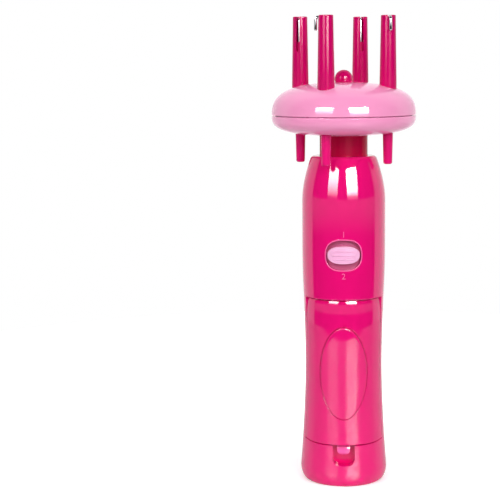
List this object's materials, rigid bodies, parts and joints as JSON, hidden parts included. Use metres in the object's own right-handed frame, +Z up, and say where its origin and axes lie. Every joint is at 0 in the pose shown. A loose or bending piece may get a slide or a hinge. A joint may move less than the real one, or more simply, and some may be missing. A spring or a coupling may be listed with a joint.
{
  "type": "fringe twister",
  "caption": "Battery hand tool that twists yarn into fringe: a waisted handle with slide switch and battery door carries a turning disc head with spinning hooked posts and push pegs.",
  "frame": {"origin": "middle of the flat that the handle stands on, on the handle's axis", "axes": "+Z up along the handle's axis, -Y out of the front with the switch and battery door, +X to the right seen from the front"},
  "size_m": [0.072, 0.072, 0.2345],
  "materials": {
    "handle_plastic": "glossy moulded magenta",
    "head_plastic": "glossy moulded light pink",
    "post_plastic": "glossy moulded deep magenta",
    "switch_plastic": "satin moulded pale pink",
    "box_plastic": "satin moulded magenta",
    "black_plastic": "matt black",
    "white_plastic": "natural white",
    "cell_jacket": "printed jacket, plain",
    "contact_metal": "nickel plated",
    "steel": "plain steel",
    "hook_wire": "bright plated wire",
    "wire_sleeve": "soft sleeve"
  },
  "bodies": {
    "handle": {"rear_shell": "handle_plastic", "front_shell": "handle_plastic", "battery_box": "box_plastic", "battery_1": "cell_jacket", "battery_2": "cell_jacket", "contact_bridge": "contact_metal", "contact_positive": "contact_metal", "contact_negative": "contact_metal", "lower_spring": "steel", "upper_spring": "steel", "handle_screws": "steel", "motor_can": "steel", "motor_cap": "white_plastic", "gearbox_case": "black_plastic", "gearbox_cover": "black_plastic", "gearbox_screws": "steel", "switch_body": "black_plastic", "switch_screws": "steel", "wiring": "wire_sleeve", "neck_tube": "handle_plastic", "retaining_ring": "steel"},
    "head": {"head_top_shell": "head_plastic", "head_bottom_shell": "head_plastic", "head_clutch": "steel", "drive_clutch": "steel", "centre_knob": "post_plastic", "head_screws": "steel"},
    "drive": {"drive_shaft": "steel", "sun_gear": "white_plastic"},
    "post_1": {"post_tube_1": "post_plastic", "post_gear_1": "white_plastic"},
    "post_2": {"post_tube_2": "post_plastic", "post_gear_2": "white_plastic"},
    "post_3": {"post_tube_3": "post_plastic", "post_gear_3": "white_plastic"},
    "post_4": {"post_tube_4": "post_plastic", "post_gear_4": "white_plastic"},
    "plunger_1": {"hook_1": "hook_wire", "push_peg_1": "post_plastic", "hook_spring_1": "steel"},
    "plunger_2": {"hook_2": "hook_wire", "push_peg_2": "post_plastic", "hook_spring_2": "steel"},
    "plunger_3": {"hook_3": "hook_wire", "push_peg_3": "post_plastic", "hook_spring_3": "steel"},
    "plunger_4": {"hook_4": "hook_wire", "push_peg_4": "post_plastic", "hook_spring_4": "steel"},
    "switch": {"switch_slider": "switch_plastic", "switch_actuator": "white_plastic"},
    "door": {"battery_door": "handle_plastic"},
    "latch": {"door_latch": "handle_plastic"}
  },
  "joints": [
    {"name": "head_spin", "type": "hinge", "parent": "handle", "child": "head", "pos_m": [0, 0, 0.18], "axis": [0, 0, 1], "continuous": true},
    {"name": "drive_spin", "type": "hinge", "parent": "head", "child": "drive", "pos_m": [0, 0, 0.19], "axis": [0, 0, 1], "continuous": true},
    {"name": "post_1_spin", "type": "hinge", "parent": "head", "child": "post_1", "pos_m": [-0.0218, 0.0085, 0.19], "axis": [0, 0, 1], "continuous": true},
    {"name": "post_2_spin", "type": "hinge", "parent": "head", "child": "post_2", "pos_m": [-0.0085, -0.0218, 0.19], "axis": [0, 0, 1], "continuous": true},
    {"name": "post_3_spin", "type": "hinge", "parent": "head", "child": "post_3", "pos_m": [0.0218, -0.0085, 0.19], "axis": [0, 0, 1], "continuous": true},
    {"name": "post_4_spin", "type": "hinge", "parent": "head", "child": "post_4", "pos_m": [0.0085, 0.0218, 0.19], "axis": [0, 0, 1], "continuous": true},
    {"name": "hook_1_push", "type": "slide", "parent": "post_1", "child": "plunger_1", "axis": [0, 0, 1], "range_m": [0, 0.008], "stiffness_N_per_m": 150, "springref_m": -0.01, "deforming": ["hook_spring_1"]},
    {"name": "hook_2_push", "type": "slide", "parent": "post_2", "child": "plunger_2", "axis": [0, 0, 1], "range_m": [0, 0.008], "stiffness_N_per_m": 150, "springref_m": -0.01, "deforming": ["hook_spring_2"]},
    {"name": "hook_3_push", "type": "slide", "parent": "post_3", "child": "plunger_3", "axis": [0, 0, 1], "range_m": [0, 0.008], "stiffness_N_per_m": 150, "springref_m": -0.01, "deforming": ["hook_spring_3"]},
    {"name": "hook_4_push", "type": "slide", "parent": "post_4", "child": "plunger_4", "axis": [0, 0, 1], "range_m": [0, 0.008], "stiffness_N_per_m": 150, "springref_m": -0.01, "deforming": ["hook_spring_4"]},
    {"name": "switch_slide", "type": "slide", "parent": "handle", "child": "switch", "axis": [0, 0, 1], "range_m": [-0.0025, 0.0025]},
    {"name": "door_swing", "type": "hinge", "parent": "handle", "child": "door", "pos_m": [0, -0.02025, 0.095], "axis": [-1, 0, 0], "range_deg": [0, 30]},
    {"name": "latch_press", "type": "hinge", "parent": "door", "child": "latch", "pos_m": [0, -0.01758, 0.0258], "axis": [1, 0, 0], "range_deg": [0, 12], "stiffness_Nm_per_rad": 0.02, "springref_deg": -5.73}
  ],
  "couplings": [
    {"joint": "post_1_spin", "follows": "drive_spin", "ratio": -2.25},
    {"joint": "post_2_spin", "follows": "drive_spin", "ratio": -2.25},
    {"joint": "post_3_spin", "follows": "drive_spin", "ratio": -2.25},
    {"joint": "post_4_spin", "follows": "drive_spin", "ratio": -2.25}
  ]
}
